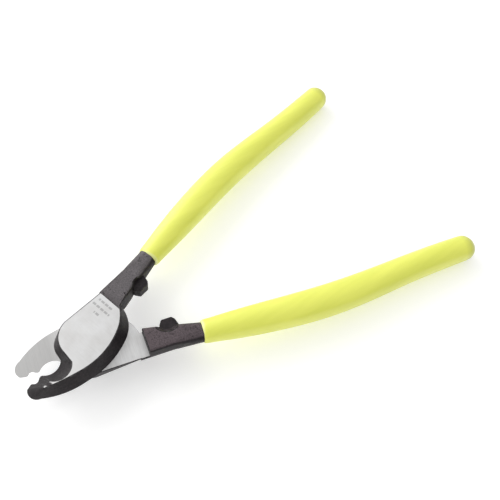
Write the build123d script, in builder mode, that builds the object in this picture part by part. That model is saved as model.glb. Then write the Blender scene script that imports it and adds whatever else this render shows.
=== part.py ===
from build123d import *
import os
from math import cos, radians, sin

# Hand cable cutter: two identical forged levers crossed on one pivot bolt, with dipped grips.
#
# Model frame: origin where the pivot axis meets the ground front face, +X along the tool's
# centre line towards the handles, +Y towards the front lever's handle, +Z out of the front
# face.  The tool is drawn partly open, as it is when it is picked up.
#
# Lever frame: origin on the pivot in the shear plane, +X along the lever towards its handle,
# +Y away from the other lever and +Z away from the shear plane.  The ends of the stop lugs lie
# a little off the lever's +X, so the handles close slightly past the point where both +X meet.

os.makedirs("parts", exist_ok=True)

# ---- Driving dimensions, in millimetres and degrees ----
lever_angle = 14.3          # each lever's +X from the tool's centre line, as drawn
shear_gap = 0.05            # running gap between the two shear faces

head_thickness = 6.0        # shear plane to ground face
step_x = 13.2               # where the ground face ends and the forged tang begins
rear_step_x = 16.4          # where the tang gets its full thickness, clear of the other head
tang_half = 4.4             # half of the tang's thickness

back_y = 11.5               # straight outer back of the head, at the shear plane
face_back_y = 10.7          # the same edge on the ground face
tang_stations = (           # along the lever, inner side, outer side, half thickness, edge radius
    (step_x, 1.6, 11.8, tang_half, 0.9),
    (25.5, 4.0, 11.95, tang_half, 1.4),
    (38.2, 6.2, 13.3, 3.3, 3.2),
)
tang_draft = 1.1            # the outer side leans in by this much up to the ground side's face
draft_reach = 1.0           # the drafting cut runs this far past the tang
clear_span = 60.0           # more than the width of a lever, for cuts right across it
head_end_x = 19.0           # head section runs into the tang this far

hollow_left = (-20.0, 4.4)  # cutting edge at the shear plane: start, deepest point, heel
hollow_deep = (-16.0, 2.0)
hollow_right = (-12.2, 3.6)
bevel_left = (-20.0, -1.1)  # the same edge where the bevel meets the ground face
bevel_deep = (-15.0, -3.8)
bevel_right = (-11.2, -1.7)

lug_top = 0.85              # end of the stop lug
lug_outline = ((22.4, 5.2), (22.8, 2.6), (23.9, lug_top), (27.8, lug_top), (28.8, 2.0), (29.8, 6.0))
lug_half = 2.4              # half thickness of the stop lug
lug_centre = (25.9, 1.4)    # centre of the scallops forged around the lug
scallops = (                # side of the lever, radius at the tang's face and at the lug's
    (1, 3.8, 3.2),
    (-1, 5.4, 3.6),
)

grip_centre = (             # centre line of the handle in the lever frame, cuff to far end
    (36.6, 9.4),
    (62.5, 12.1),
    (90.0, 13.6),
    (122.0, 12.1),
    (140.0, 11.4),
    (155.6, 11.2),
)
grip_sections = (           # share of the way along the grip, width, thickness, corner radius
    (0.00, 8.4, 7.6, 3.6),
    (0.09, 10.2, 9.6, 4.4),
    (0.22, 11.8, 10.9, 4.9),
    (0.46, 12.4, 11.4, 5.0),
    (0.70, 11.3, 11.0, 5.0),
    (0.90, 10.8, 10.4, 4.8),
    (1.00, 10.3, 10.0, 4.6),
)
end_rounding = 3.4          # edge of the grip's far end
core_sections = (           # the steel core in the grip, given in the same way
    (0.00, 6.4, 6.2, 2.9),
    (0.45, 6.6, 7.4, 1.2),
    (0.93, 5.0, 5.6, 1.6),
)

shoulder_radius = 4.0       # bolt journal in the rear lever
running_clearance = 0.05    # radial clearance of the journal, and end play under the washer
bolt_head_radius = 5.6      # flush head, its 45 degree cone sunk in the front lever
bolt_cone_depth = 1.6
bolt_end_chamfer = 0.4
neck_side = 8.0             # square neck that keys the bolt to the front lever
neck_end = 0.4              # the neck stops this far short of the shear plane
thread_radius = 3.0         # M6, drawn as a plain cylinder
washer_radius = 6.25
washer_bore = 3.2
washer_thickness = 0.8
spring_radius = 5.5
spring_thickness = 1.2
spring_gap = 0.9            # split in the spring washer
nut_flats = 10.0            # across the flats
nut_height = 3.2
nut_cone_start = 4.7        # washer face of the nut, and the slope of its corner chamfer
nut_cone_reach = 1.2
nut_cone_depth = 0.65
thread_end = 0.5            # thread showing past the nut

shear_z = -head_thickness
front_frame = Plane(
    origin=(0, 0, shear_z),
    x_dir=(cos(radians(lever_angle)), sin(radians(lever_angle)), 0),
    z_dir=(0, 0, 1),
)
rear_frame = Plane(
    origin=(0, 0, shear_z),
    x_dir=(cos(radians(lever_angle)), -sin(radians(lever_angle)), 0),
    z_dir=(0, 0, -1),
)
pivot_section = Plane(origin=(0, 0, shear_z), x_dir=(1, 0, 0), z_dir=(0, -1, 0))


def grip_line(frame):
    """The gently bowed centre line of the handle, from the cuff to the far end."""
    with BuildLine(frame) as line:
        Spline(*grip_centre)
    return line.line


def section_plane(line, place, frame):
    """A plane across the handle: local X is its thickness, local Y its width."""
    return Plane(origin=line @ place, x_dir=frame.z_dir, z_dir=line % place)


def tang_section(frame, place_x, inner_y, outer_y, half, corner):
    """The forged tang across the lever at place_x: its edges grow rounder towards the grip."""
    plane = Plane(origin=frame.origin, x_dir=frame.z_dir, z_dir=frame.x_dir).offset(place_x)
    with BuildSketch(plane) as section:
        with Locations((0, -(inner_y + outer_y) / 2)):
            RectangleRounded(2 * half, outer_y - inner_y, corner)
    return section.sketch


def outside_plan(plane, inset):
    """Everything beyond the tang's outer side, that side drawn in by inset."""
    side = [(place_x, outer_y - inset) for place_x, _, outer_y, _, _ in tang_stations]
    first_x, first_y = side[0]
    last_x, last_y = side[-1]
    with BuildSketch(plane) as plan:
        Polygon(
            (first_x - draft_reach, first_y),
            *side,
            (last_x + draft_reach, last_y),
            (last_x + draft_reach, 2 * last_y),
            (first_x - draft_reach, 2 * last_y),
            align=None,
        )
    return plan.sketch


def tang_body(frame):
    """The tang: drafted towards the ground side, cut back where it clears the other head."""
    draft_top = tang_half + draft_reach
    with BuildPart() as tang:
        loft([tang_section(frame, *station) for station in tang_stations], ruled=True)
        parting = outside_plan(frame, -running_clearance)
        drafted = outside_plan(frame.offset(draft_top), tang_draft * draft_top / tang_half)
        loft([parting, drafted], mode=Mode.SUBTRACT)
        with BuildSketch(frame.offset(shear_gap / 2)):
            with Locations((step_x, 0)):
                Rectangle(2 * (rear_step_x - step_x), clear_span)
        extrude(amount=-2 * tang_half, mode=Mode.SUBTRACT)
    return tang.part


def forging(frame):
    """One lever: bevelled jaw and ground head, full tang, stop lug and steel core."""
    line = grip_line(frame)
    tang = tang_body(frame)
    with BuildPart() as lever:
        # The head tapers from its parting line at the shear plane to the ground face.
        with BuildSketch(frame.offset(shear_gap / 2)):
            with BuildLine():
                ThreePointArc((-25.3, -1.6), (-27.4, 1.6), (-26.3, 4.1))
                Line((-26.3, 4.1), (-24.1, 4.6))
                ThreePointArc((-24.1, 4.6), (-22.5, 3.5), (-21.2, 4.2))
                Line((-21.2, 4.2), hollow_left)
                ThreePointArc(hollow_left, hollow_deep, hollow_right)
                Line(hollow_right, (-11.7, 6.0))
                ThreePointArc((-11.7, 6.0), (-9.4, 9.9), (-4.5, back_y))
                Line((-4.5, back_y), (head_end_x, back_y + 0.2))
                Line((head_end_x, back_y + 0.2), (head_end_x, 3.1))
                Line((head_end_x, 3.1), (15.6, 2.4))
                ThreePointArc((15.6, 2.4), (13.4, -3.1), (7.5, -7.6))
                ThreePointArc((7.5, -7.6), (-2.0, -9.6), (-11.5, -8.5))
                ThreePointArc((-11.5, -8.5), (-19.3, -5.8), (-25.3, -1.6))
            make_face()
        with BuildSketch(frame.offset(head_thickness)):
            with BuildLine():
                ThreePointArc((-22.6, -2.0), (-23.1, -1.4), (-22.4, -0.9))
                Line((-22.4, -0.9), (-21.9, -0.9))
                ThreePointArc((-21.9, -0.9), (-21.2, -1.1), (-20.6, -1.0))
                Line((-20.6, -1.0), bevel_left)
                ThreePointArc(bevel_left, bevel_deep, bevel_right)
                Line(bevel_right, (-10.5, 3.4))
                ThreePointArc((-10.5, 3.4), (-8.4, 8.0), (-2.8, face_back_y))
                Line((-2.8, face_back_y), (head_end_x, 9.3))
                Line((head_end_x, 9.3), (head_end_x, 2.9))
                Line((head_end_x, 2.9), (14.0, 1.3))
                ThreePointArc((14.0, 1.3), (11.4, -1.9), (6.0, -5.3))
                ThreePointArc((6.0, -5.3), (-3.0, -7.3), (-12.0, -6.0))
                ThreePointArc((-12.0, -6.0), (-17.6, -4.1), (-22.6, -2.0))
            make_face()
        loft(ruled=True)
        # The ground face ends at a step down to the forged tang.
        with BuildSketch(frame.offset(tang_half)):
            with Locations((step_x, 0)):
                Rectangle(clear_span, clear_span, align=(Align.MIN, Align.CENTER))
        extrude(amount=head_thickness, mode=Mode.SUBTRACT)
        add(tang)
        # Stop lug, in a scallop on both faces of the tang.
        for face_side, face_radius, floor_radius in scallops:
            with BuildSketch(frame.offset(face_side * tang_half)):
                with Locations(lug_centre):
                    Circle(face_radius)
            with BuildSketch(frame.offset(face_side * lug_half)):
                with Locations(lug_centre):
                    Circle(floor_radius)
            loft(mode=Mode.SUBTRACT)
        with BuildSketch(frame.offset(-lug_half)):
            Polygon(*lug_outline, align=None)
        extrude(amount=2 * lug_half)
        # Steel core inside the grip, tapering towards its end.
        for place, width, thickness, corner in core_sections:
            with BuildSketch(section_plane(line, place, frame)):
                RectangleRounded(thickness, width, corner)
        loft()
    return lever


def bolt_stack_plane(depth):
    """A level plane on the pivot axis, this far behind the shear plane, facing backwards."""
    return Plane(origin=(0, 0, shear_z - depth), x_dir=front_frame.x_dir, z_dir=(0, 0, -1))


def dipped_grip(frame, lever):
    """Vinyl grip dipped over the lever's core: a slim cuff, a full middle and a rounded end."""
    line = grip_line(frame)
    with BuildPart() as grip:
        for place, width, thickness, corner in grip_sections:
            with BuildSketch(section_plane(line, place, frame)):
                RectangleRounded(thickness, width, corner)
        loft()
        fillet(grip.faces().sort_by_distance(line @ 1)[0].edges(), end_rounding)
        add(lever.part, mode=Mode.SUBTRACT)
    return grip


# ---- Pivot bolt: flush head, square neck in the front lever, journal in the rear lever ----
rear_face = head_thickness + running_clearance
washer_face = rear_face + washer_thickness
spring_face = washer_face + spring_thickness
bolt_end = spring_face + nut_height + thread_end

with BuildPart() as pivot_bolt:
    with BuildSketch(pivot_section):
        with BuildLine():
            Polyline(
                (0, head_thickness),
                (bolt_head_radius, head_thickness),
                (bolt_head_radius - bolt_cone_depth, head_thickness - bolt_cone_depth),
                (shoulder_radius, head_thickness - bolt_cone_depth),
                (shoulder_radius, -rear_face),
                (thread_radius, -rear_face),
                (thread_radius, -bolt_end),
                (0, -bolt_end),
                close=True,
            )
        make_face()
    revolve(axis=Axis.Z)
    with BuildSketch(front_frame.offset(neck_end)):
        Rectangle(neck_side, neck_side)
    extrude(amount=head_thickness - bolt_cone_depth - neck_end)
    chamfer(pivot_bolt.edges().sort_by(Axis.Z)[0], bolt_end_chamfer)

# ---- Front lever: the forging with the bolt's seat cut to the bolt itself ----
with BuildPart() as front_lever:
    add(forging(front_frame).part)
    add(pivot_bolt.part, mode=Mode.SUBTRACT)

# ---- Rear lever: the same forging turned over, with a round bore on the journal ----
with BuildPart() as rear_lever:
    add(forging(rear_frame).part)
    with BuildSketch(rear_frame):
        Circle(shoulder_radius + running_clearance)
    extrude(amount=head_thickness, mode=Mode.SUBTRACT)

# ---- Dipped grips ----
front_grip = dipped_grip(front_frame, front_lever)
rear_grip = dipped_grip(rear_frame, rear_lever)

# ---- Flat washer, split spring washer and nut, stacked behind the rear lever ----
with BuildPart() as flat_washer:
    with BuildSketch(bolt_stack_plane(rear_face)):
        Circle(washer_radius)
        Circle(washer_bore, mode=Mode.SUBTRACT)
    extrude(amount=washer_thickness)

with BuildPart() as spring_washer:
    with BuildSketch(bolt_stack_plane(washer_face)):
        Circle(spring_radius)
        Circle(washer_bore, mode=Mode.SUBTRACT)
        Rectangle(2 * spring_radius, spring_gap, align=(Align.MIN, Align.CENTER), mode=Mode.SUBTRACT)
    extrude(amount=spring_thickness)

with BuildPart() as pivot_nut:
    with BuildSketch(bolt_stack_plane(spring_face)):
        RegularPolygon(nut_flats / 2, 6, major_radius=False)
    extrude(amount=nut_height)
    # Both hexagon faces lose their sharp corners to a 30 degree cone.
    with BuildSketch(pivot_section):
        with BuildLine():
            Polyline(
                (nut_cone_start, -spring_face),
                (nut_cone_start + nut_cone_reach, -spring_face - nut_cone_depth),
                (nut_cone_start + nut_cone_reach, -spring_face - nut_height + nut_cone_depth),
                (nut_cone_start, -spring_face - nut_height),
                (0, -spring_face - nut_height),
                (0, -spring_face),
                close=True,
            )
        make_face()
    revolve(axis=Axis.Z, mode=Mode.INTERSECT)
    with BuildSketch(bolt_stack_plane(spring_face)):
        Circle(thread_radius)
    extrude(amount=nut_height, mode=Mode.SUBTRACT)

pieces = {
    "front_lever": front_lever,
    "rear_lever": rear_lever,
    "front_grip": front_grip,
    "rear_grip": rear_grip,
    "pivot_bolt": pivot_bolt,
    "flat_washer": flat_washer,
    "spring_washer": spring_washer,
    "pivot_nut": pivot_nut,
}
for name, piece in pieces.items():
    piece.part.label = name
    export_step(piece.part, f"parts/{name}.step")
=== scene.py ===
import math

import bmesh
import bpy
import numpy as np
from mathutils import Matrix, Vector


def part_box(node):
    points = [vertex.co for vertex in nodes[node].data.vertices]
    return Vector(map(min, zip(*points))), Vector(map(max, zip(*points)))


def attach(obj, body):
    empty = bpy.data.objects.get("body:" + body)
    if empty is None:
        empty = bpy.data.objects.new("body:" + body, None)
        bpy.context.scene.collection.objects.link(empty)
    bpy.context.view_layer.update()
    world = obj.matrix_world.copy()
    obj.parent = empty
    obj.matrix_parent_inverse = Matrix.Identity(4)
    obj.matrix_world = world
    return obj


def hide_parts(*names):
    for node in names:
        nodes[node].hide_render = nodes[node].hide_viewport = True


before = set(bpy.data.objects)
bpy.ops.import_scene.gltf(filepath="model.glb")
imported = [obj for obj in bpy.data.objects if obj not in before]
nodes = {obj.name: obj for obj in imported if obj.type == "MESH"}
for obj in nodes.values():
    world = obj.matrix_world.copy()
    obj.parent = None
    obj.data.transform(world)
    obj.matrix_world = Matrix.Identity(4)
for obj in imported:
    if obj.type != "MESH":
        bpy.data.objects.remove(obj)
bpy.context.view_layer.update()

MM = 0.001
LEVER_ANGLE = math.radians(14.3)      # each lever from the tool's centre line
SHEAR_Z = -6.0 * MM                   # plane between the two heads
BOLT_HEAD = 5.6 * MM                  # radius of the flush bolt head
STEP_X = 13.2 * MM                    # where the ground face ends, along a lever
NOSE_X = -19.6 * MM                   # where the front jaw's ground strip runs out
REAR_Z = 2 * SHEAR_Z                  # ground side of the rear head; the front one's is at 0


# ---- Node helpers ----------------------------------------------------------------------

class Shade:
    """One material: its nodes are added in reading order and wired to a Principled shader."""

    def __init__(self, name, **uniform):
        self.material = bpy.data.materials.new(name)
        self.material.use_nodes = True
        self.tree = self.material.node_tree
        self.shader = self.tree.nodes["Principled BSDF"]
        for socket, value in uniform.items():
            self.shader.inputs[socket.replace("_", " ")].default_value = value
        self.place = self.add("ShaderNodeTexCoord").outputs["Object"]

    def add(self, kind, wires=None, **settings):
        node = self.tree.nodes.new(kind)
        for key, value in settings.items():
            setattr(node, key, value)
        for socket, value in (wires or {}).items():
            self.put(value, node.inputs[socket])
        return node

    def put(self, value, socket):
        if isinstance(value, bpy.types.NodeSocket):
            self.tree.links.new(value, socket)
        else:
            socket.default_value = value

    def turned(self, angle, scale):
        """Object coordinates turned about Z, then stretched."""
        turn = self.add("ShaderNodeMapping", {"Vector": self.place, "Rotation": (0, 0, angle)})
        stretch = self.add("ShaderNodeMapping", {"Vector": turn.outputs[0], "Scale": scale})
        return stretch.outputs[0]

    def noise(self, where, scale, detail=3.0, rough=0.55):
        wires = {"Vector": where, "Scale": scale, "Detail": detail, "Roughness": rough}
        return self.add("ShaderNodeTexNoise", wires).outputs["Fac"]

    def ramp(self, value, low, high, start=0.0, end=1.0):
        """Maps value from low..high to start..end, held at both ends."""
        wires = {"Value": value, "From Min": low, "From Max": high, "To Min": start, "To Max": end}
        return self.add("ShaderNodeMapRange", wires).outputs[0]

    def math(self, kind, first, second=0.0):
        return self.add("ShaderNodeMath", {0: first, 1: second}, operation=kind).outputs[0]

    def mix(self, factor, first, second):
        """Blends two colours."""
        node = self.add("ShaderNodeMix", data_type="RGBA")
        self.put(factor, node.inputs["Factor"])
        self.put(first, node.inputs["A"])
        self.put(second, node.inputs["B"])
        return node.outputs["Result"]

    def bump(self, height, distance, strength=1.0, under=None):
        wires = {"Height": height, "Distance": distance, "Strength": strength}
        if under is not None:
            wires["Normal"] = under
        return self.add("ShaderNodeBump", wires).outputs["Normal"]

    def finish(self, color, roughness, normal=None):
        """Wires the shader and gives back the material."""
        self.put(color, self.shader.inputs["Base Color"])
        self.put(roughness, self.shader.inputs["Roughness"])
        if normal is not None:
            self.put(normal, self.shader.inputs["Normal"])
        return self.material


def grey(value, warm=0.0, pink=0.0):
    """A grey that may lean towards yellow-brown (warm) or purple (pink)."""
    return (value * (1 + warm + pink), value * (1 - 0.85 * pink), value * (1 - warm), 1.0)


# ---- Materials -------------------------------------------------------------------------

def lever_axes(s, angle):
    """Distances along and across the lever whose own X is turned by angle."""
    split = s.add("ShaderNodeSeparateXYZ", {0: s.turned(-angle, (1, 1, 1))})
    return split.outputs["X"], split.outputs["Y"]


def level_of(s):
    """Height in the model frame."""
    return s.add("ShaderNodeSeparateXYZ", {0: s.place}).outputs["Z"]


DASH_ROWS = ((11.0, 3.3), (8.7, 3.9), (6.4, 1.2))     # mm along the lever, and half the row's length
DASH_CENTRE = 4.9 * MM


def dashes(s, along, across):
    """Generic etched marks by the step: two rows of plain dashes and a short third one."""
    masks = []
    for row, half_span in DASH_ROWS:
        off = s.math("ABSOLUTE", s.math("SUBTRACT", along, row * MM))
        side = s.math("ABSOLUTE", s.math("SUBTRACT", across, DASH_CENTRE))
        line = s.ramp(off, 0.45 * MM, 0.35 * MM)
        span = s.ramp(side, half_span * MM, (half_span - 0.1) * MM)
        gaps = s.ramp(s.math("PINGPONG", across, 0.9 * MM), 0.14 * MM, 0.22 * MM)
        masks.append(s.math("MULTIPLY", s.math("MULTIPLY", line, span), gaps))
    return s.math("MAXIMUM", s.math("MAXIMUM", masks[0], masks[1]), masks[2])


def ground_steel(name, angle, bright, jaw=1.0, nose_x=None, marked=False):
    """Belt-ground steel: fine lines across the lever and faint stains.

    jaw darkens it towards the jaw, nose_x blackens the front face beyond that place but for
    a painted glint at the nose's end, and marked etches the front face.
    """
    s = Shade(name, Metallic=1.0)
    along, across = lever_axes(s, angle)
    lines = s.noise(s.turned(-angle, (5200, 130, 400)), 1.0, 4.0)
    broad = s.noise(s.turned(-angle, (900, 60, 100)), 1.0, 2.0)
    stain = s.noise(s.place, 130, 3.0)
    base = s.mix(s.ramp(stain, 0.38, 0.68), grey(bright), grey(bright * 0.86, 0.012))
    base = s.mix(s.ramp(along, -9 * MM, -15 * MM), base, grey(bright * jaw, 0.01))
    base = s.mix(s.ramp(lines, 0.35, 0.7, 0.0, 0.22), base, grey(bright * jaw * 0.72))
    rough = s.math("ADD", s.ramp(lines, 0.3, 0.7, 0.34, 0.46), s.ramp(stain, 0.35, 0.7, 0.0, 0.08))
    height = s.math("ADD", lines, s.math("MULTIPLY", broad, 0.8))
    front_face = s.ramp(level_of(s), -0.8 * MM, -0.3 * MM)
    if marked:
        marks = s.math("MULTIPLY", dashes(s, along, across), front_face)
        base = s.mix(s.math("MULTIPLY", marks, 0.45), base, grey(0.14))
        height = s.math("SUBTRACT", height, s.math("MULTIPLY", marks, 2.0))
    if nose_x is not None:
        ragged = s.math("ADD", along, s.math("MULTIPLY", s.noise(s.place, 900), 1.0 * MM))
        skin = s.ramp(ragged, nose_x, nose_x - 0.5 * MM)
        # painted highlight: bright steel left unblackened at the nose's end stands for a glint
        glint = s.ramp(s.math("ADD", along, s.math("MULTIPLY", across, 0.4)), -22.9 * MM, -22.4 * MM)
        nose = s.math("MULTIPLY", s.math("MULTIPLY", skin, glint), front_face)
        base = s.mix(nose, base, grey(0.06, 0.0, 0.05))
    return s.finish(base, rough, s.bump(height, 0.00002, 0.5))


def forged_skin(name, angle, bright, warm, pink):
    """The rest of a forging: grit-blasted grey on the tang's faces, black oxide on the walls."""
    s = Shade(name, Metallic=0.15)
    s.shader.inputs["Specular IOR Level"].default_value = 0.22
    grain = s.noise(s.place, 2600, 3.0, 0.7)
    pits = s.noise(s.place, 1100, 2.0)
    patch = s.noise(s.place, 170, 3.0)
    tint = warm, pink
    blasted = s.mix(s.ramp(grain, 0.35, 0.68), grey(bright * 0.6, *tint), grey(bright * 1.35, *tint))
    blasted = s.mix(s.ramp(pits, 0.58, 0.72), blasted, grey(bright * 0.4, *tint))
    blasted = s.mix(s.ramp(patch, 0.42, 0.70, 0.0, 0.45), blasted, grey(bright * 0.78, *tint))
    oxide = s.mix(s.ramp(pits, 0.35, 0.7), grey(0.008, 0.0, 0.12), grey(0.020, 0.0, 0.15))
    oxide = s.mix(s.ramp(patch, 0.55, 0.75, 0.0, 0.5), oxide, grey(0.030, 0.0, 0.12))
    normal = s.add("ShaderNodeTexCoord").outputs["Normal"]
    level = s.math("ABSOLUTE", s.add("ShaderNodeSeparateXYZ", {0: normal}).outputs["Z"])
    depth = s.math("ABSOLUTE", s.math("SUBTRACT", level_of(s), SHEAR_Z))
    along, _ = lever_axes(s, angle)
    ragged = s.math("ADD", level, s.math("MULTIPLY", s.math("SUBTRACT", pits, 0.5), 0.25))
    face = s.math("MULTIPLY", s.ramp(ragged, 0.62, 0.84), s.ramp(depth, 2.6 * MM, 3.0 * MM))
    face = s.math("MULTIPLY", face, s.ramp(along, STEP_X - 0.3 * MM, STEP_X))
    base = s.mix(face, oxide, blasted)
    height = s.math("ADD", grain, pits)
    rough = s.ramp(patch, 0.3, 0.7, 0.42, 0.60)
    return s.finish(base, rough, s.bump(height, 0.00010, 0.6))


def worn_rim(name, angle, nose_x):
    """Rubbed edges: dark, with bare steel in spots beside a ground face and faint flecks elsewhere."""
    s = Shade(name, Metallic=0.6)
    z = level_of(s)
    along, _ = lever_axes(s, angle)
    near_front = s.ramp(z, -0.6 * MM, -0.1 * MM)
    near_rear = s.ramp(z, REAR_Z + 0.6 * MM, REAR_Z + 0.1 * MM)
    ground_side = s.math("MAXIMUM", near_front, near_rear)
    rubbed = s.ramp(s.noise(s.place, 420, 3.0), 0.50, 0.72, 0.0, 0.16)
    behind_nose = s.ramp(along, nose_x, nose_x + 1.0 * MM)
    rim = s.math("MULTIPLY", s.math("MULTIPLY", ground_side, rubbed), behind_nose)
    fleck = s.ramp(s.noise(s.place, 700, 4.0), 0.50, 0.70, 0.0, 0.12)
    bare = s.math("MAXIMUM", rim, fleck)
    base = s.mix(bare, grey(0.018, 0.0, 0.1), grey(0.50))
    return s.finish(base, s.ramp(bare, 0.0, 1.0, 0.5, 0.33), s.bump(fleck, 0.00003, 0.4))


def plated_steel(name):
    """Bright zinc plate on the nut and washers: cool, slightly cloudy, lightly marked."""
    s = Shade(name, Metallic=1.0)
    cloud = s.noise(s.place, 500, 3.0)
    fine = s.noise(s.place, 4200, 2.0)
    base = s.mix(s.ramp(cloud, 0.35, 0.7), (0.60, 0.61, 0.63, 1), (0.44, 0.44, 0.43, 1))
    rough = s.math("ADD", s.ramp(cloud, 0.3, 0.7, 0.34, 0.50), s.ramp(fine, 0.4, 0.7, 0.0, 0.08))
    return s.finish(base, rough, s.bump(fine, 0.00002, 0.5))


def grip_vinyl(name):
    """Fluorescent dipped vinyl: a soft sheen, slow drips along the dip, fine orange peel, painted shade
    on the domed ends and a painted highlight on the rolled lip.
    """
    s = Shade(name, Subsurface_Weight=0.12, Subsurface_Scale=0.002, Coat_Weight=0.9, Coat_Roughness=0.5)
    s.shader.inputs["Subsurface Radius"].default_value = (1.0, 0.9, 0.2)
    s.shader.inputs["Specular IOR Level"].default_value = 0.6
    drips = s.noise(s.turned(0.0, (28, 190, 190)), 1.0, 3.0)
    peel = s.noise(s.place, 620, 2.0)
    dust = s.noise(s.place, 2400, 2.0)
    base = s.mix(s.ramp(drips, 0.35, 0.68), (0.83, 0.86, 0.108, 1), (0.75, 0.79, 0.080, 1))
    base = s.mix(s.ramp(dust, 0.60, 0.78, 0.0, 0.12), base, (0.60, 0.64, 0.10, 1))
    far = s.add("ShaderNodeVectorMath", {0: s.place}, operation="LENGTH").outputs["Value"]
    # painted shade: each grip's domed end is darkened towards olive
    base = s.mix(s.ramp(far, 149.5 * MM, 155 * MM, 0.0, 0.75), base, (0.36, 0.38, 0.04, 1))
    # painted highlight: the rolled lip at the cuff is painted paler
    base = s.mix(s.ramp(far, 38.9 * MM, 38.1 * MM, 0.0, 0.6), base, (0.93, 0.95, 0.50, 1))
    rough = s.math("ADD", s.ramp(drips, 0.3, 0.7, 0.34, 0.44), s.ramp(dust, 0.4, 0.7, 0.0, 0.06))
    waves = s.bump(drips, 0.0006, 0.35)
    return s.finish(base, rough, s.bump(peel, 0.00008, 0.35, waves))


# ---- Levers: the CAD forging with rubbed edges and each surface's own finish -------------

GROUND, SKIN, RIM = range(3)          # material slots of a lever
RUBBED_WIDTH = 0.32 * MM              # of a worn edge
FLAT_NORMAL = 0.999                   # a level face's normal has at least this much Z
SHARP_ANGLE = math.radians(28)        # flatter edges aren't rounded
CORNER_ANGLE = math.radians(50)       # sharper edges stay corners in the shading
OUTSIDE_X = -6 * MM                   # in the shear plane, edges are rounded behind this
OUTSIDE_Y = 7 * MM                    # and further than this from the centre line


def finish_of(face, outer_z):
    """Ground where the face is level and lies on the ground side or in the shear plane."""
    z = face.calc_center_median().z
    ground = abs(z - outer_z) < 0.05 * MM or abs(z - SHEAR_Z) < 0.1 * MM
    return GROUND if abs(face.normal.z) > FLAT_NORMAL and ground else SKIN


def edge_weight(edge, angle):
    """How much an edge is rounded: none on cutting edges and around the bolt."""
    if len(edge.link_faces) != 2 or edge.calc_face_angle() < SHARP_ANGLE or not edge.is_convex:
        return 0.0
    ends = [v.co for v in edge.verts]
    if all(abs(p.z - SHEAR_Z) < 0.1 * MM for p in ends):
        own = [Matrix.Rotation(-angle, 3, "Z") @ p for p in ends]
        outside = all(p.x > OUTSIDE_X and p.y * angle > 0 and abs(p.y) > OUTSIDE_Y for p in own)
        return 1.0 if outside else 0.0
    if all(math.hypot(p.x, p.y) < BOLT_HEAD + 0.1 * MM for p in ends):
        return 0.0
    return 1.0


def crisp(lever):
    """The rounded mesh, sharp at every edge of a ground face and at every true corner."""
    rounded = lever.evaluated_get(bpy.context.evaluated_depsgraph_get())
    mesh = bpy.data.meshes.new_from_object(rounded)
    bm = bmesh.new()
    bm.from_mesh(mesh)
    for edge in bm.edges:
        ground = any(face.material_index == GROUND for face in edge.link_faces)
        corner = len(edge.link_faces) == 2 and edge.calc_face_angle() > CORNER_ANGLE
        edge.smooth = not (ground or corner)
    bm.to_mesh(mesh)
    bm.free()
    return mesh


def make_lever(node, body, outer_z, angle, materials):
    """A copy of the CAD forging with rubbed edges; outer_z is the height of its ground side."""
    mesh = bpy.data.meshes.new(node + "_forging")
    bm = bmesh.new()
    bm.from_mesh(nodes[node].data)
    bmesh.ops.remove_doubles(bm, verts=bm.verts, dist=1e-7)
    weights = bm.edges.layers.float.new("bevel_weight_edge")
    for face in bm.faces:
        face.material_index = finish_of(face, outer_z)
        face.smooth = face.material_index != GROUND
    for edge in bm.edges:
        edge[weights] = edge_weight(edge, angle)
    bm.to_mesh(mesh)
    bm.free()
    for material in materials:
        mesh.materials.append(material)
    lever = bpy.data.objects.new(node + "_forging", mesh)
    bpy.context.scene.collection.objects.link(lever)
    bevel = lever.modifiers.new("rubbed edges", "BEVEL")
    bevel.width = RUBBED_WIDTH
    bevel.segments = 2
    bevel.limit_method = "WEIGHT"
    bevel.use_clamp_overlap = False
    bevel.loop_slide = False
    bevel.material = RIM
    lever.data = crisp(lever)
    lever.modifiers.clear()
    lever.modifiers.new("weighted normals", "WEIGHTED_NORMAL").keep_sharp = True
    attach(lever, body)
    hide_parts(node)


# ---- Grips -----------------------------------------------------------------------------

GRIP_LINE = ((36.6, 9.4), (62.5, 12.1), (90.0, 13.6), (122.0, 12.1), (140.0, 11.4), (155.6, 11.2))
GRIP_PLACES = (0.00, 0.09, 0.22, 0.46, 0.70, 0.90, 1.00)
GRIP_WIDTHS = (8.4, 10.2, 11.8, 12.4, 11.3, 10.8, 10.3)
GRIP_THICKNESSES = (7.6, 9.6, 10.9, 11.4, 11.0, 10.4, 10.0)
GRIP_CORNERS = (3.6, 4.4, 4.9, 5.0, 5.0, 4.8, 4.6)
LIP_PLACES = (0.0, 0.0, 0.0, 0.0015, 0.004, 0.008, 0.013, 0.02, 0.03)
LIP_CUTS = (1.9, 1.1, 0.42, 0.12, 0.0, -0.08, -0.11, -0.07, -0.02)
BODY_RINGS = 84
DOME_RADIUS = 5.0
DOME_TURN = np.linspace(0.12, 1.0, 9) * math.pi / 2
RING_POINTS = 56
CROWN = 0.8                           # 1 leaves a ring's flats flat


def natural_spline(knots, values, wanted):
    """Natural cubic through values at knots, read at wanted."""
    knots = np.asarray(knots, float)
    values = np.asarray(values, float)
    step = np.diff(knots)
    count = len(knots)
    system = np.eye(count)
    right = np.zeros(count)
    for i in range(1, count - 1):
        system[i, i - 1:i + 2] = step[i - 1], 2 * (step[i - 1] + step[i]), step[i]
        after = (values[i + 1] - values[i]) / step[i]
        before = (values[i] - values[i - 1]) / step[i - 1]
        right[i] = 3 * (after - before)
    second = np.linalg.solve(system, right)
    wanted = np.asarray(wanted, float)
    i = np.clip(np.searchsorted(knots, wanted) - 1, 0, count - 2)
    t = wanted - knots[i]
    slope = (values[i + 1] - values[i]) / step[i] - step[i] * (2 * second[i] + second[i + 1]) / 3
    third = (second[i + 1] - second[i]) / (3 * step[i])
    return values[i] + slope * t + second[i] * t ** 2 + third * t ** 3


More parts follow.
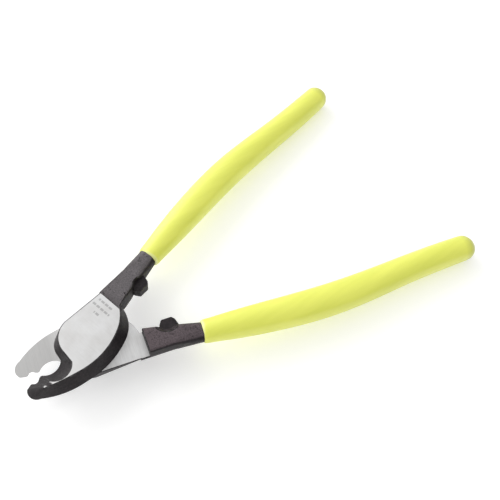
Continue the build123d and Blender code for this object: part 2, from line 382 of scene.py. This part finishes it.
def rounded_ring(width, thickness, corner):
    """Points of a rounded rectangle, its flats slightly crowned as dipped vinyl's are."""
    ring = []
    for k in range(RING_POINTS):
        angle = 2 * math.pi * (k + 0.5) / RING_POINTS
        c, s = math.cos(angle), math.sin(angle)
        x = math.copysign(abs(c) ** CROWN, c)
        y = math.copysign(abs(s) ** CROWN, s)
        flat_x, flat_y = width / 2 - corner, thickness / 2 - corner
        reach = max(abs(x), abs(y))
        ring.append((flat_x * x / reach + corner * c, flat_y * y / reach + corner * s))
    return ring


def grip_rings(side):
    """Rings of points from the rolled lip to the domed end; side is +1 at the front, -1 at the rear."""
    line = np.array(GRIP_LINE)
    run = np.cumsum(np.hypot(*np.diff(line, axis=0).T))
    chords = np.concatenate(([0], run)) / run[-1]
    tip = DOME_RADIUS / run[-1]
    dome_places = 1 - tip * (1 - np.sin(DOME_TURN))
    places = np.concatenate((LIP_PLACES, np.linspace(0.04, 1 - tip, BODY_RINGS), dome_places))
    cuts = np.concatenate((LIP_CUTS, np.zeros(BODY_RINGS), DOME_RADIUS * (1 - np.cos(DOME_TURN))))
    xs, ys = (natural_spline(chords, axis, places) for axis in line.T)
    next_xs, next_ys = (natural_spline(chords, axis, places + 1e-4) for axis in line.T)
    widths = natural_spline(GRIP_PLACES, GRIP_WIDTHS, places)
    thicknesses = natural_spline(GRIP_PLACES, GRIP_THICKNESSES, places)
    corners = natural_spline(GRIP_PLACES, GRIP_CORNERS, places)
    turn = Matrix.Rotation(side * LEVER_ANGLE, 3, "Z")
    rings = []
    for i in range(len(places)):
        along = Vector((next_xs[i] - xs[i], next_ys[i] - ys[i], 0)).normalized()
        across = Vector((-along.y, along.x, 0))
        cut = cuts[i]
        half_w, half_t = widths[i] / 2 - cut, thicknesses[i] / 2 - cut
        corner = min(max(corners[i] - cut * 0.6, 0.25), half_w, half_t)
        ring = []
        for px, py in rounded_ring(2 * half_w, 2 * half_t, corner):
            point = Vector((xs[i], ys[i], 0)) + across * px
            place = turn @ Vector((point.x, side * point.y, 0)) * MM
            place.z = SHEAR_Z + py * MM
            ring.append(place)
        rings.append(ring)
    return rings


def make_grip(node, body, side, material):
    """A dipped sleeve, closed at both ends, round the steel core."""
    bm = bmesh.new()
    rings = [[bm.verts.new(point) for point in ring] for ring in grip_rings(side)]
    for a, b in zip(rings, rings[1:]):
        for k in range(len(a)):
            j = (k + 1) % len(a)
            bm.faces.new((a[k], a[j], b[j], b[k]))
    bm.faces.new(rings[0])
    bm.faces.new(rings[-1])
    bmesh.ops.recalc_face_normals(bm, faces=bm.faces)
    for face in bm.faces:
        face.smooth = True
    mesh = bpy.data.meshes.new(node + "_vinyl")
    bm.to_mesh(mesh)
    bm.free()
    mesh.materials.append(material)
    grip = bpy.data.objects.new(node + "_vinyl", mesh)
    bpy.context.scene.collection.objects.link(grip)
    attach(grip, body)
    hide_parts(node)


# ---- Bolt, washers and nut --------------------------------------------------------------

def dress(node, material, width):
    """Gives a CAD piece its finish and breaks its sharp edges."""
    piece = nodes[node]
    piece.data.materials.clear()
    piece.data.materials.append(material)
    weld = piece.modifiers.new("weld", "WELD")
    weld.merge_threshold = 1e-7
    bevel = piece.modifiers.new("broken edges", "BEVEL")
    bevel.width = width
    bevel.segments = 2
    bevel.limit_method = "ANGLE"
    bevel.angle_limit = math.radians(25)
    bevel.harden_normals = True


# ---- Stage -------------------------------------------------------------------------------

def make_floor():
    """Pale floor on which the tool lies: it touches the bolt's end and the ends of the grips."""
    bolt_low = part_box("pivot_bolt")[0].z
    slope = min(
        (v.co.z - bolt_low) / v.co.x
        for name in ("front_grip", "rear_grip")
        for v in nodes[name].data.vertices
    )
    bpy.ops.mesh.primitive_plane_add(size=8)
    floor = bpy.context.object
    floor.name = "floor"
    floor.location = (0, 0, bolt_low - 0.05 * MM)
    floor.rotation_euler = (0, -math.atan(slope), 0)
    s = Shade("floor")
    s.shader.inputs["Specular IOR Level"].default_value = 0.1
    s.shader.inputs["Emission Color"].default_value = (1, 1, 1, 1)
    s.shader.inputs["Emission Strength"].default_value = 0.25
    mottle = s.noise(s.place, 3, 2.0)
    tone = s.mix(s.ramp(mottle, 0.3, 0.7), (0.90, 0.90, 0.90, 1), (0.93, 0.93, 0.93, 1))
    floor.data.materials.append(s.finish(tone, 0.9))


def make_world(dim, bright, towards):
    """White surroundings, brighter on the side that towards points to."""
    world = bpy.data.worlds.new("studio")
    bpy.context.scene.world = world
    world.use_nodes = True
    tree = world.node_tree
    direction = tree.nodes.new("ShaderNodeTexCoord").outputs["Generated"]
    dot = tree.nodes.new("ShaderNodeVectorMath")
    dot.operation = "DOT_PRODUCT"
    dot.inputs[1].default_value = Vector(towards).normalized()
    tree.links.new(direction, dot.inputs[0])
    level = tree.nodes.new("ShaderNodeMapRange")
    for socket, value in (("From Min", -0.7), ("From Max", 0.9), ("To Min", dim), ("To Max", bright)):
        level.inputs[socket].default_value = value
    tree.links.new(dot.outputs["Value"], level.inputs["Value"])
    background = tree.nodes["Background"]
    background.inputs["Color"].default_value = (1, 1, 1, 1)
    tree.links.new(level.outputs[0], background.inputs["Strength"])


def make_light(name, place, target, size, power):
    data = bpy.data.lights.new(name, "AREA")
    data.size = size
    data.energy = power
    light = bpy.data.objects.new(name, data)
    bpy.context.scene.collection.objects.link(light)
    light.location = place
    light.rotation_euler = (target - place).to_track_quat("-Z", "Y").to_euler()


def make_camera(place, target, roll, lens):
    data = bpy.data.cameras.new("camera")
    data.lens = lens
    data.clip_start = 0.01
    data.clip_end = 20
    camera = bpy.data.objects.new("camera", data)
    bpy.context.scene.collection.objects.link(camera)
    camera.location = place
    camera.rotation_mode = "QUATERNION"
    aim = (target - place).to_track_quat("-Z", "Y")
    camera.rotation_quaternion = aim @ Matrix.Rotation(roll, 3, "Z").to_quaternion()
    bpy.context.scene.camera = camera


# ---- The tool ----------------------------------------------------------------------------

front_finish = (
    ground_steel("front ground steel", LEVER_ANGLE, 0.64, nose_x=NOSE_X, marked=True),
    forged_skin("front forged skin", LEVER_ANGLE, 0.125, 0.0, 0.05),
    worn_rim("front worn rim", LEVER_ANGLE, NOSE_X),
)
rear_finish = (
    ground_steel("rear ground steel", -LEVER_ANGLE, 0.65, jaw=0.64),
    forged_skin("rear forged skin", -LEVER_ANGLE, 0.092, 0.02, 0.12),
    worn_rim("rear worn rim", -LEVER_ANGLE, NOSE_X),
)
make_lever("front_lever", "front_half", 0.0, LEVER_ANGLE, front_finish)
make_lever("rear_lever", "rear_half", REAR_Z, -LEVER_ANGLE, rear_finish)

vinyl = grip_vinyl("dipped vinyl")
make_grip("front_grip", "front_half", 1, vinyl)
make_grip("rear_grip", "rear_half", -1, vinyl)

plate = plated_steel("zinc plate")
bolt_finishes = nodes["pivot_bolt"].data.materials
bolt_finishes.clear()
bolt_finishes.append(ground_steel("bolt steel", LEVER_ANGLE, 0.65))
dress("flat_washer", plate, 0.12 * MM)
dress("spring_washer", plate, 0.12 * MM)
dress("pivot_nut", plate, 0.15 * MM)

make_floor()
make_world(0.50, 1.05, (-0.35, 0.8, 0.45))
centre = Vector((60, 0, -6)) * MM
make_light("key", Vector((-0.12, 0.62, 0.34)), centre, 0.60, 3.0)
make_camera(
    place=Vector((-21.95, -79.64, 197.15)) * MM,
    target=Vector((68.3, -0.4, -6.0)) * MM,
    roll=math.radians(13.6),
    lens=43.2,
)
bpy.context.scene.view_settings.view_transform = "Standard"
